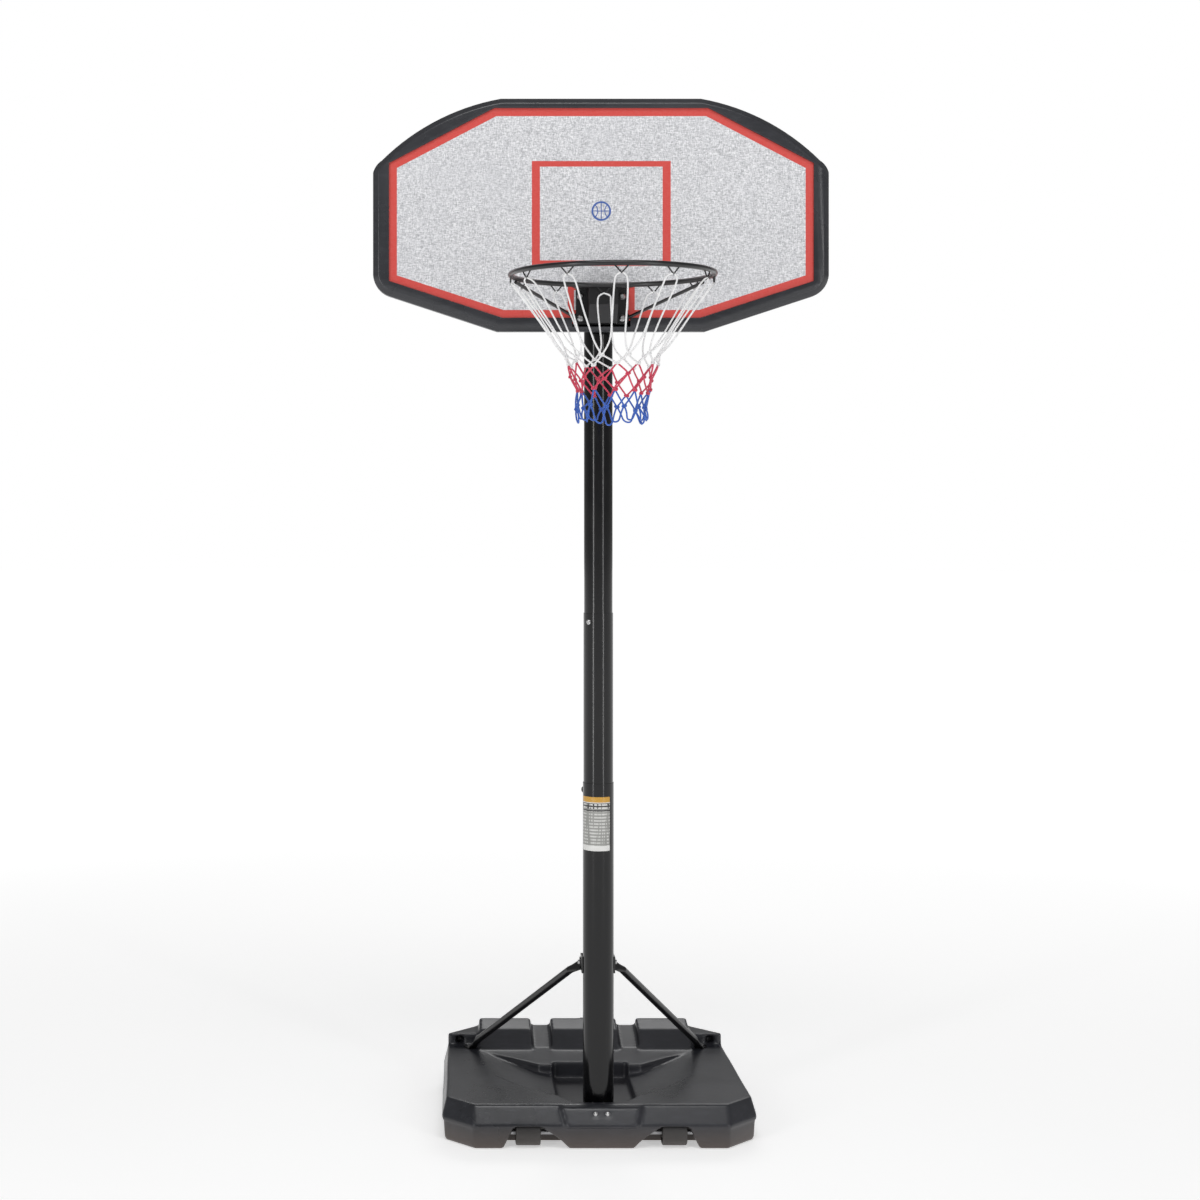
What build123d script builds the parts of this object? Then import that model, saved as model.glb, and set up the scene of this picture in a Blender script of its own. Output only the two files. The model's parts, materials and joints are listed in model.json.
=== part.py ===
"""Portable basketball hoop: a tank base on wheels, a three-piece pole and a fan-shaped board.

Millimetres, +Z up. The origin is on the floor, under the pole's axis. The rim reaches towards
-Y, so -Y is the front, and the struts run back to the tank's rear corners in +Y.
The mast stands at its lowest setting, and the wheels hang just clear of the floor.
"""

from build123d import *
from math import cos, hypot, radians, sin, sqrt
import os

os.makedirs("parts", exist_ok=True)

# ------------------------------------------------------------------ driving dimensions
# Pole: three round tubes, each sliding or plugged into the one below.
tube_wall = 1.2
tube_gap = 0.3
bottom_radius = 38.0
bottom_foot = 20.0
bottom_top = 870.0
middle_top = 1287.0
middle_length = 1047.0
top_plug = 100.0
top_above_plates = 13.0

# Rim: a round bar bent into a ring, with its plane at the lowest playing height.
rim_height = 2077.0
rim_inner_radius = 225.0
rim_bar = 6.0
rim_standoff = 79.0
hook_count = 12
hook_wire = 1.7
hook_span = 30.0
hook_drop = 15.0

# Board: a printed panel clamped between a moulded frame and a moulded back.
board_half_width = 552.5
board_height = 565.0
board_below_rim = 104.0
board_face = 90.0
panel_thick = 4.0
frame_lip = 6.0
frame_side = 10.0
frame_bevel = 13.0
frame_band_side = 39.0
frame_band_top = 25.0
frame_band_bottom = 33.0
back_wall = 3.0
back_depth = 26.0
back_rib = 8.0
rib_width = 14.0

# Rim bracket and the two plates that hold the board to the pole.
bracket_edge = 11.0
bracket_height = 97.0
bracket_drop = 87.0
bracket_sheet = 3.0
gusset_width = 69.0
rim_plate_half = 88.0
rim_bolt_room = 12.3
rim_bolt_high_drop = 19.0
rim_bolt_low_drop = 72.0
rim_bolt_radius = 4.0
brace_radius = 4.0
side_plate = 3.0
plate_below_rim = 85.0
plate_above_rim = 145.0
plate_flange = 40.0
plate_bolt_radius = 5.0
plate_bolt_offsets = (-32.0, 93.0)
plate_screw_offsets = (48.0, 126.0)
plate_screw_radius = 2.4
plate_gap = 0.2

# Tank base.
base_half_width = 387.0
base_front = 115.0
base_back = 556.0
base_corner = 77.0
base_rear_corner = 92.0
base_taper = 8.0
skirt_height = 54.0
deck_height = 100.0
front_lean = 33.0
side_lean = 12.0
tank_wall = 4.0
socket_gap = 0.3
socket_ring = 13.0
bump_rise = 54.0
shoulder_rise = 30.0
pocket_depth = 44.0
pocket_half_width = 97.0
pocket_back = 290.0
strut_seat_side = 56.0
strut_seat_rear = 109.0

# Wheels.
wheel_radius = 31.0
wheel_width = 60.0
wheel_offset = 177.0
wheel_inset = 4.0
wheel_lift = 2.0
axle_radius = 6.0
axle_gap = 0.06
wheel_room = 5.0

# Struts, their saddle on the pole, and small hardware.
strut_radius = 9.5
strut_wall = 1.2
strut_height = 420.0
strut_tab = 3.0
strut_tab_width = 26.0
strut_bolt_radius = 3.0
strut_bolt_hex = 10.0
saddle_sheet = 3.0
saddle_height = 40.0
lock_height = 842.0
lock_thread = 5.0
lock_gap = 0.06
lock_tip_gap = 0.3
cap_radius = 24.0
cap_above_deck = 24.0
hole_clearance = 0.25

# ------------------------------------------------------------------ values worked out
middle_radius = bottom_radius - tube_wall - tube_gap
top_radius = middle_radius - tube_wall - tube_gap
middle_foot = middle_top - middle_length
top_foot = middle_top - top_plug
board_bottom = rim_height - board_below_rim
board_top = board_bottom + board_height
rim_radius = rim_inner_radius + rim_bar
rim_center_y = -board_face - rim_standoff - rim_radius
panel_back = board_face - panel_thick
back_plane = panel_back - back_depth
pad_plane = back_plane - back_rib
flange_back = pad_plane - side_plate
bracket_low = rim_height - bracket_drop
plate_inner = top_radius + plate_gap
plate_outer = plate_inner + side_plate
side_plate_low = rim_height - plate_below_rim
side_plate_high = rim_height + plate_above_rim
plate_bolt_heights = [rim_height + step for step in plate_bolt_offsets]
plate_screw_heights = [rim_height + step for step in plate_screw_offsets]
top_end = side_plate_high + top_above_plates
rim_bolt_x = plate_outer + rim_bolt_room
rim_bolt_high = rim_height - rim_bolt_high_drop
rim_bolt_low = rim_height - rim_bolt_low_drop
bracket_width = 2 * (rim_bolt_x + bracket_edge)
wheel_back = base_front - wheel_inset - wheel_radius
wheel_axis_z = wheel_radius + wheel_lift
arch_half = wheel_width / 2 + wheel_room
saddle_outer = bottom_radius + plate_gap + saddle_sheet
strut_bolt_y = bottom_radius - 9.0
bump_top = deck_height + bump_rise
shoulder_top = deck_height + shoulder_rise
pocket_floor = deck_height - pocket_depth
cap_height = deck_height + cap_above_deck


# ------------------------------------------------------------------ helpers
def mirrored(half):
    """A closed outline from its right half, listed from the front to the back."""
    return half + [(-x, y) for x, y in reversed(half)]


def moved_in(points, shifts):
    """The corners of a closed outline after each side moves inwards by its own shift."""
    count = len(points)
    lines = []
    for i in range(count):
        (ax, ay), (bx, by) = points[i], points[(i + 1) % count]
        length = hypot(bx - ax, by - ay)
        dx, dy = (bx - ax) / length, (by - ay) / length
        lines.append((ax - dy * shifts[i], ay + dx * shifts[i], dx, dy))
    corners = []
    for i in range(count):
        px, py, pdx, pdy = lines[i - 1]
        qx, qy, qdx, qdy = lines[i]
        along = ((qx - px) * qdy - (qy - py) * qdx) / (pdx * qdy - pdy * qdx)
        corners.append((px + pdx * along, py + pdy * along))
    return corners


def block(low, low_z, high, high_z, mode=Mode.ADD):
    """A flat-sided block between two outlines at two heights."""
    faces = []
    for outline, height in ((low, low_z), (high, high_z)):
        with BuildSketch(Plane.XY.offset(height)) as level:
            with BuildLine():
                Polyline(*outline, close=True)
            make_face()
        faces.append(level.sketch.face())
    loft(faces, ruled=True, mode=mode)


def along_x(profile, x_low, x_high, mode=Mode.ADD):
    """A profile of (y, z) points carried along X."""
    with BuildSketch(Plane.YZ.offset(x_low)) as side_view:
        with BuildLine():
            Polyline(*profile, close=True)
        make_face()
    extrude(side_view.sketch, amount=x_high - x_low, mode=mode)


def rod(start, direction, radius, length, mode=Mode.ADD):
    """A round rod, or a round hole, from a point along a direction."""
    with BuildSketch(Plane(origin=start, z_dir=direction)) as section:
        Circle(radius)
    extrude(section.sketch, amount=length, mode=mode)


def hex_end(seat, out, across, height):
    """A hexagonal head or nut that stands on its seat."""
    with BuildSketch(Plane(origin=seat, z_dir=out)) as section:
        RegularPolygon(radius=across / 2, side_count=6, major_radius=False)
    extrude(section.sketch, amount=height)


def dome_end(seat, out, radius, height):
    """A low domed screw head that stands on its seat."""
    plane = Plane(origin=seat, z_dir=out)
    with BuildSketch(plane) as rim:
        Circle(radius)
    with BuildSketch(plane.offset(height)) as crown:
        Circle(radius * 0.55)
    loft([rim.sketch.face(), crown.sketch.face()])


def write(part, name):
    """Label a finished piece and write its STEP file."""
    part.label = name
    export_step(part, f"parts/{name}.step")


# ------------------------------------------------------------------ tank base
skirt_half = [
    (base_half_width - base_corner, -base_front),
    (base_half_width, -base_front + base_corner),
    (base_half_width - base_taper, base_back - base_rear_corner),
    (base_half_width - base_taper - base_rear_corner, base_back),
]
skirt_outline = mirrored(skirt_half)
corner_lean = front_lean / sqrt(2)
rear_corner_lean = side_lean / sqrt(2)
deck_leans = [corner_lean, side_lean, rear_corner_lean, side_lean]
deck_leans += [rear_corner_lean, side_lean, corner_lean, front_lean]
deck_outline = moved_in(skirt_outline, deck_leans)
deck_side = deck_outline[2][0]
deck_rear = deck_outline[3][1]
strut_seat_x = deck_side - strut_seat_side
strut_seat_y = deck_rear - strut_seat_rear

# The sunk pocket round the pole, and the two troughs that run out to the strut feet.
pocket_front = bottom_radius + 22.0
pocket_nose = (bottom_radius + 22.0, -pocket_front)
pocket_outline = mirrored([pocket_nose, (pocket_half_width, -4.0), (pocket_half_width, pocket_back)])
trough_start = pocket_half_width - 12.0
trough_depth = 26.0
trough_reach = 165.0
trough_outline = [
    (trough_start, -14.0),
    (pocket_half_width + 69.0, 55.0),
    (strut_seat_x - 61.0, 169.0),
    (strut_seat_x - 18.0, strut_seat_y - 26.0),
    (pocket_half_width + 81.0, pocket_back + 16.0),
    (pocket_half_width + 35.0, pocket_back - 26.0),
    (trough_start, pocket_back - 26.0),
]

# Three moulded humps along the back edge, and the raised rear corners.
side_hump_inner = 142.0
side_hump_outer = strut_seat_x - 28.0
middle_hump_half = 90.0
hump_spans = [
    (-side_hump_outer, -side_hump_inner),
    (-middle_hump_half, middle_hump_half),
    (side_hump_inner, side_hump_outer),
]
hump_foot = deck_rear - 154.0
hump_knee = deck_rear - 80.0
knee_drop = 14.0
ridge_top = deck_height + 36.0
corner_front = deck_outline[2][1] - 10.0
corner_inner = side_hump_outer - 4.0


def deck_humps(skin):
    """The humps, the ridge between them and the rear corners, shrunk by a wall."""
    back = deck_rear - skin
    low = deck_height - 6.0
    wedge = [(hump_foot + 14.0 + skin, low), (back, low), (back - 8.0, ridge_top - skin)]
    along_x(wedge, -side_hump_outer + skin, side_hump_outer - skin)
    hump = [
        (hump_foot + skin, low),
        (back, low),
        (back - 10.0, bump_top - skin),
        (hump_knee + skin, bump_top - knee_drop - skin),
    ]
    for left, right in hump_spans:
        along_x(hump, left + skin, right - skin)
    corner = [
        (corner_inner, corner_front),
        (deck_side, corner_front),
        deck_outline[2],
        deck_outline[3],
        (corner_inner, deck_rear),
    ]
    for side in (-1, 1):
        placed = [(side * x, y) for x, y in moved_in(corner, [skin] * 5)][::side]
        block(placed, low, placed, shoulder_top - skin)


# Each trough's floor climbs from the pocket to the deck beside the strut's foot.
trough_slope = Plane(
    origin=(pocket_half_width, 150.0, deck_height - trough_depth),
    z_dir=Vector(-trough_depth, 2.0, trough_reach).normalized(),
)


def trough(grow):
    """One trough's volume: deep at the pocket and running out at the deck."""
    outline = moved_in(trough_outline, [-grow] * len(trough_outline))
    with BuildSketch(Plane.XY.offset(deck_height - 60.0)) as plan:
        with BuildLine():
            Polyline(*outline, close=True)
        make_face()
    extrude(plan.sketch, amount=90.0)
    split(bisect_by=trough_slope.offset(-grow), keep=Keep.TOP)


# A wheel notch leans out in two steps at its inner end and in one at its outer end.
inner_slope = 74.0
knee_slope = 37.0
knee_height = 26.0
outer_slope = 30.0


def wheel_notch(side, grow):
    """The arched space under the front edge where a wheel sits."""
    center = side * wheel_offset
    inner = center - side * arch_half
    outer = center + side * arch_half
    ceiling = skirt_height - 4.0 + grow
    low = [
        (inner - side * (inner_slope + grow), -10.0),
        (inner - side * (knee_slope + grow), knee_height + grow),
        (inner - side * grow, ceiling),
        (outer + side * grow, ceiling),
        (outer + side * (outer_slope + grow), -10.0),
    ]
    front_clear = base_front + 60.0
    with BuildSketch(Plane.XZ.offset(front_clear)) as front_view:
        with BuildLine():
            Polyline(*low, close=True)
        make_face()
    extrude(front_view.sketch, amount=-(front_clear - wheel_back + wheel_radius + wheel_room + grow))
    top = wheel_axis_z + wheel_radius + wheel_room + grow
    front = -wheel_back - wheel_radius - 1.5 - grow
    back = -wheel_back + wheel_radius + wheel_room + grow
    bend = front + (wheel_radius + 1.5) / 2
    arch = [(front, 30.0), (front, skirt_height - 2.0), (bend, top), (back, top), (back, 30.0)]
    along_x(arch, min(inner, outer) - grow, max(inner, outer) + grow)


# A blind slot in the front of each raised rear corner.
slot_width = 21.0
slot_side_wall = 21.0
slot_depth = 26.0
slot_sill = 3.0
slot_lintel = 6.0
slot_outer = deck_side - slot_side_wall
slot_inner = slot_outer - slot_width


def corner_slot(side, grow):
    """The slot's volume, grown by a wall."""
    low_x, high_x = sorted((side * (slot_inner - grow), side * (slot_outer + grow)))
    back = corner_front + slot_depth + grow
    front = corner_front - slot_lintel
    low, high = deck_height + slot_sill - grow, shoulder_top - slot_lintel + grow
    along_x([(front, low), (back, low), (back, high), (front, high)], low_x, high_x)


with BuildPart() as slots:
    for side in (-1, 1):
        corner_slot(side, 0.0)
with BuildPart() as slots_grown:
    for side in (-1, 1):
        corner_slot(side, tank_wall)
with BuildPart() as trough_right:
    trough(0.0)
with BuildPart() as trough_right_grown:
    trough(tank_wall)
with BuildPart() as notches:
    for side in (-1, 1):
        wheel_notch(side, 0.0)
with BuildPart() as notches_grown:
    for side in (-1, 1):
        wheel_notch(side, tank_wall)

# The nose stands a little proud of the front edge and carries the two pole screws.
nose_half = 83.0
nose_front = -base_front - 9.0
nose_root = -base_front + 6.0
nose_spread = 1.15
nose_lean = front_lean - 2.3
nose_top = deck_height - 3.0
nose_low = [
    (-nose_half - 9.0, nose_root),
    (-nose_half, nose_front),
    (nose_half, nose_front),
    (nose_half + 9.0, nose_root),
]
nose_high = [(x * nose_spread, y + nose_lean) for x, y in nose_low]
pole_screw_z = deck_height - 18.0
pole_screw_x = 14.5
pole_screw_radius = 2.5
screw_seat_depth = 1.5
nose_climb = (pole_screw_z - skirt_height) / (nose_top - skirt_height)
pole_screw_seat = nose_front + screw_seat_depth + nose_lean * nose_climb
strut_insert_radius = 8.0
strut_insert_length = 24.0

# The inside of the tank, which the moulding leaves hollow.
foot_inset = 9.0
foot_top_inset = 5.0
socket_top = pocket_floor + 14.0

with BuildPart() as tank_void:
    wall = tank_wall
    foot_low = moved_in(skirt_outline, [foot_inset + wall] * 8)
    foot_high = moved_in(skirt_outline, [foot_top_inset + wall] * 8)
    block(foot_low, wall, foot_high, skirt_height + wall + 1.0)
    upper_low = moved_in(skirt_outline, [wall + 3.0] * 8)
    upper_high = moved_in(deck_outline, [wall] * 8)
    block(upper_low, skirt_height + wall, upper_high, deck_height - wall)
    deck_humps(wall)
    grown_pocket = moved_in(pocket_outline, [-wall] * 6)
    block(grown_pocket, pocket_floor - wall, grown_pocket, bump_top + 10.0, mode=Mode.SUBTRACT)
    add(trough_right_grown.part, mode=Mode.SUBTRACT)
    add(mirror(trough_right_grown.part, about=Plane.YZ), mode=Mode.SUBTRACT)
    add(notches_grown.part, mode=Mode.SUBTRACT)
    add(slots_grown.part, mode=Mode.SUBTRACT)
    rod((0, 0, 0), (0, 0, 1), bottom_radius + socket_gap + wall, pocket_floor + wall, mode=Mode.SUBTRACT)
    screw_block = [
        (nose_front - 1.0, skirt_height - wall),
        (nose_front - 1.0, deck_height + 10.0),
        (-bottom_radius, deck_height + 10.0),
        (-bottom_radius, skirt_height - wall),
    ]
    along_x(screw_block, -30.0, 30.0, mode=Mode.SUBTRACT)
    for side in (-1, 1):
        seat = (side * strut_seat_x, strut_seat_y, deck_height)
        rod(seat, (0, 0, -1), strut_insert_radius + wall, strut_insert_length + wall, mode=Mode.SUBTRACT)
        end = side * (wheel_offset + arch_half)
        rod((end, -wheel_back, wheel_axis_z), (side, 0, 0), axle_radius + wall, 26.0, mode=Mode.SUBTRACT)
    run = wheel_offset - arch_half
    rod((-run, -wheel_back, wheel_axis_z), (1, 0, 0), axle_radius + wall, 2 * run, mode=Mode.SUBTRACT)
    rod((0, deck_rear + 12.0, cap_height), (0, -1, 0), cap_radius + 4.0, 34.0, mode=Mode.SUBTRACT)

axle_length = 2 * (wheel_offset + arch_half + 20.0)
axle_end = (-axle_length / 2, -wheel_back, wheel_axis_z)
port_radius = 17.0
port_face = deck_rear + 2.0

with BuildPart() as base_tank:
    foot_low = moved_in(skirt_outline, [foot_inset] * 8)
    foot_high = moved_in(skirt_outline, [foot_top_inset] * 8)
    block(foot_low, 0.0, foot_high, skirt_height)
    block(skirt_outline, skirt_height, deck_outline, deck_height)
    fillet(base_tank.edges().filter_by_position(Axis.Z, skirt_height + 5, deck_height - 5), radius=9.0)
    block(nose_low, skirt_height, nose_high, nose_top)
    deck_humps(0.0)
    block(pocket_outline, pocket_floor, pocket_outline, bump_top + 10.0, mode=Mode.SUBTRACT)
    add(trough_right.part, mode=Mode.SUBTRACT)
    add(mirror(trough_right.part, about=Plane.YZ), mode=Mode.SUBTRACT)
    socket_foot = bottom_foot - tank_wall
    rod((0, 0, socket_foot), (0, 0, 1), bottom_radius + socket_gap + socket_ring, socket_top - socket_foot)
    add(notches.part, mode=Mode.SUBTRACT)
    add(slots.part, mode=Mode.SUBTRACT)
    rod((0, deck_rear - 6.0, cap_height), (0, 1, 0), cap_radius + 3.0, 8.0)
    add(tank_void.part, mode=Mode.SUBTRACT)
    rod((0, 0, bottom_foot), (0, 0, 1), bottom_radius + socket_gap, 100.0, mode=Mode.SUBTRACT)
    rod(axle_end, (1, 0, 0), axle_radius, axle_length, mode=Mode.SUBTRACT)
    rod((0, port_face, cap_height), (0, -1, 0), port_radius, 60.0, mode=Mode.SUBTRACT)
    for side in (-1, 1):
        seat = (side * strut_seat_x, strut_seat_y, deck_height)
        rod(seat, (0, 0, -1), strut_insert_radius, strut_insert_length, mode=Mode.SUBTRACT)
        screw_seat = (side * pole_screw_x, pole_screw_seat, pole_screw_z)
        rod(screw_seat, (0, 1, 0), pole_screw_radius + 0.2, base_front - bottom_radius, mode=Mode.SUBTRACT)
        rod(screw_seat, (0, -1, 0), 6.8, 30.0, mode=Mode.SUBTRACT)
write(base_tank.part, "base_tank")


# ------------------------------------------------------------------ wheels and axle
with BuildPart() as wheel_axle:
    rod(axle_end, (1, 0, 0), axle_radius, axle_length)
write(wheel_axle.part, "wheel_axle")

wheel_hub_radius = 13.0
wheel_web = 8.0
wheel_rim_wall = 5.0
wheel_bore = axle_radius + axle_gap
for side, name in ((-1, "wheel_left"), (1, "wheel_right")):
    middle = Plane(origin=(side * wheel_offset, -wheel_back, wheel_axis_z), z_dir=(1, 0, 0))
    with BuildPart() as wheel:
        with BuildSketch(middle.offset(-wheel_width / 2)):
            Circle(wheel_radius)
        extrude(amount=wheel_width)
        fillet(wheel.edges().filter_by(GeomType.CIRCLE), radius=4.0)
        for end, way in ((wheel_width / 2, -1), (-wheel_width / 2, 1)):
            with BuildSketch(middle.offset(end)):
                Circle(wheel_radius - wheel_rim_wall)
                Circle(wheel_hub_radius, mode=Mode.SUBTRACT)
            extrude(amount=way * (wheel_width - wheel_web) / 2, mode=Mode.SUBTRACT)
        with BuildSketch(middle.offset(-wheel_width / 2)):
            Circle(wheel_bore)
        extrude(amount=wheel_width, mode=Mode.SUBTRACT)
    write(wheel.part, name)


# ------------------------------------------------------------------ pole
def tube(radius, low, high):
    """A round tube between two heights."""
    with BuildSketch(Plane.XY.offset(low)) as ring:
        Circle(radius)
        Circle(radius - tube_wall, mode=Mode.SUBTRACT)
    extrude(ring.sketch, amount=high - low)


joint_angle = radians(225.0)
joint_out = (cos(joint_angle), sin(joint_angle), 0.0)
joint_back = (-cos(joint_angle), -sin(joint_angle), 0.0)
joint_height = middle_top - 21.0
joint_screw_radius = 3.0
joint_reach = middle_radius + 4.0

with BuildPart() as pole_bottom:
    tube(bottom_radius, bottom_foot, bottom_top)
    rod((0, 0, lock_height), (0, 1, 0), lock_thread + 1.0, bottom_radius + 5.0, mode=Mode.SUBTRACT)
    for side in (-1, 1):
        start = (side * pole_screw_x, 0, pole_screw_z)
        rod(start, (0, -1, 0), pole_screw_radius + 0.2, bottom_radius + 5.0, mode=Mode.SUBTRACT)
write(pole_bottom.part, "pole_bottom")

with BuildPart() as pole_middle:
    tube(middle_radius, middle_foot, middle_top)
    for way in (joint_out, joint_back):
        rod((0, 0, joint_height), way, joint_screw_radius + hole_clearance, joint_reach, mode=Mode.SUBTRACT)
write(pole_middle.part, "pole_middle")

with BuildPart() as pole_top:
    tube(top_radius, top_foot, top_end)
    for way in (joint_out, joint_back):
        rod((0, 0, joint_height), way, joint_screw_radius + hole_clearance, joint_reach, mode=Mode.SUBTRACT)
    for height in plate_bolt_heights:
        start = (-plate_outer, 0, height)
        rod(start, (1, 0, 0), plate_bolt_radius + hole_clearance, 2 * plate_outer, mode=Mode.SUBTRACT)
write(pole_top.part, "pole_top")

with BuildPart() as pole_cap:
    with BuildSketch(Plane.XY.offset(top_end)):
        Circle(top_radius + 1.5)
    extrude(amount=6.0)
    fillet(pole_cap.edges().group_by(Axis.Z)[-1], radius=4.0)
    with BuildSketch(Plane.XY.offset(top_end)):
        Circle(top_radius - tube_wall)
        Circle(top_radius - tube_wall - 2.5, mode=Mode.SUBTRACT)
    extrude(amount=-22.0)
write(pole_cap.part, "pole_cap")

with BuildPart() as joint_screws:
    for way in (joint_out, joint_back):
        seat = tuple(c * middle_radius for c in way)
        rod((seat[0], seat[1], joint_height), tuple(-c for c in way), joint_screw_radius, 9.0)
        rod((seat[0], seat[1], joint_height), way, joint_screw_radius, 1.0)
        seat = tuple(c * (middle_radius + 0.8) for c in way)
        dome_end((seat[0], seat[1], joint_height), way, 6.5, 3.2)
write(joint_screws.part, "joint_screws")

with BuildPart() as pole_foot_screws:
    for side in (-1, 1):
        seat = (side * pole_screw_x, pole_screw_seat, pole_screw_z)
        rod(seat, (0, 1, 0), pole_screw_radius, -pole_screw_seat - bottom_radius + 6.0)
        dome_end(seat, (0, -1, 0), 6.0, 3.0)
write(pole_foot_screws.part, "pole_foot_screws")

# The label wraps the front of the bottom tube, a little to the left of the middle.
label_low = 706.0
label_high = 838.0
label_turn = 252.0
label_arc = 121.0
label_film = 0.3
with BuildPart() as pole_label:
    with BuildSketch(Plane.XY.offset(label_low)):
        with BuildLine():
            begin = label_turn - label_arc / 2
            outer_arc = CenterArc((0, 0), bottom_radius + label_film, begin, label_arc)
            inner_arc = CenterArc((0, 0), bottom_radius, begin, label_arc)
            Line(outer_arc @ 0, inner_arc @ 0)
            Line(outer_arc @ 1, inner_arc @ 1)
        make_face()
    extrude(amount=label_high - label_low)
write(pole_label.part, "pole_label")

# ------------------------------------------------------------------ height lock
lock_boss_end = bottom_radius + 12.0
lock_washer_thick = 2.0
with BuildPart() as lock_boss:
    rod((0, bottom_radius - 2.0, lock_height), (0, 1, 0), 11.0, lock_boss_end - bottom_radius + 2.0)
    rod((0, 0, lock_height - 20.0), (0, 0, 1), bottom_radius, 40.0, mode=Mode.SUBTRACT)
    rod((0, 0, lock_height), (0, 1, 0), lock_thread + lock_gap, lock_boss_end + 5.0, mode=Mode.SUBTRACT)
write(lock_boss.part, "lock_boss")

with BuildPart() as lock_washer:
    rod((0, lock_boss_end + 0.3, lock_height), (0, 1, 0), 12.0, lock_washer_thick)
    rod((0, lock_boss_end, lock_height), (0, 1, 0), lock_thread + lock_gap, 10.0, mode=Mode.SUBTRACT)
write(lock_washer.part, "lock_washer")

knob_seat = lock_boss_end + 0.3 + lock_washer_thick + 0.3
knob_length = 24.0
with BuildPart() as lock_screw:
    screw_tip = middle_radius + lock_tip_gap
    rod((0, screw_tip, lock_height), (0, 1, 0), lock_thread, knob_seat + knob_length - 3.7 - screw_tip)
write(lock_screw.part, "lock_screw")

knob_plane = Plane(origin=(0, knob_seat, lock_height), x_dir=(1, 0, 0), z_dir=(0, 1, 0))
with BuildPart() as lock_knob:
    with BuildSketch(knob_plane):
        Circle(13.0)
    extrude(amount=knob_length - 12.0)
    with BuildSketch(knob_plane.offset(knob_length - 16.0)):
        SlotOverall(74.0, 17.0)
    extrude(amount=16.0)
    fillet(lock_knob.edges().group_by(Axis.Y)[-1], radius=4.0)
    rod((0, 0, lock_height), (0, 1, 0), lock_thread, knob_seat + knob_length - 3.7, mode=Mode.SUBTRACT)
write(lock_knob.part, "lock_knob")

# ------------------------------------------------------------------ filler cap
cap_seal_thick = 2.5
with BuildPart() as cap_seal:
    rod((0, port_face + 0.3, cap_height), (0, 1, 0), port_radius + 4.0, cap_seal_thick)
    rod((0, port_face, cap_height), (0, 1, 0), port_radius - 2.0 + 0.4, 10.0, mode=Mode.SUBTRACT)
write(cap_seal.part, "cap_seal")

cap_seat = port_face + 0.3 + cap_seal_thick + 0.3
with BuildPart() as fill_cap:
    rod((0, cap_seat, cap_height), (0, 1, 0), cap_radius, 9.0)
    fillet(fill_cap.edges().group_by(Axis.Y)[-1], radius=2.0)
    for turn in range(24):
        angle = radians(15.0 * turn)
        spot = (cap_radius * cos(angle), cap_seat - 1.0, cap_height + cap_radius * sin(angle))
        rod(spot, (0, 1, 0), 1.6, 12.0, mode=Mode.SUBTRACT)
    with BuildSketch(Plane(origin=(0, cap_seat + 8.0, cap_height), z_dir=(0, 1, 0))):
        Rectangle(30.0, 7.0)
    extrude(amount=8.0)
    rod((0, cap_seat, cap_height), (0, -1, 0), port_radius - 2.0, 18.0)
    rod((0, cap_seat - 1.0, cap_height), (0, -1, 0), port_radius - 5.0, 20.0, mode=Mode.SUBTRACT)
write(fill_cap.part, "fill_cap")

# ------------------------------------------------------------------ struts
with BuildPart() as strut_saddle:
    with BuildSketch(Plane.XY.offset(strut_height - saddle_height / 2)):
        with BuildLine():
            Polyline(
                (saddle_outer, -6.0),
                (saddle_outer, strut_bolt_y + 9.0 + saddle_sheet),
                (-saddle_outer, strut_bolt_y + 9.0 + saddle_sheet),
                (-saddle_outer, -6.0),
                (-saddle_outer + saddle_sheet, -6.0),
                (-saddle_outer + saddle_sheet, strut_bolt_y + 9.0),
                (saddle_outer - saddle_sheet, strut_bolt_y + 9.0),
                (saddle_outer - saddle_sheet, -6.0),
                close=True,
            )
        make_face()
    extrude(amount=saddle_height)
    far_side = (-saddle_outer - 1.0, strut_bolt_y, strut_height)
    rod(far_side, (1, 0, 0), strut_bolt_radius + hole_clearance, 2 * saddle_outer + 2.0, mode=Mode.SUBTRACT)
write(strut_saddle.part, "strut_saddle")

tab_flat = 16.0
flare = 34.0
strut_top = Vector(saddle_outer + strut_tab / 2, strut_bolt_y, strut_height)
strut_foot = Vector(strut_seat_x, strut_seat_y, deck_height + strut_tab / 2)
strut_way = (strut_foot - strut_top).normalized()


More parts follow.
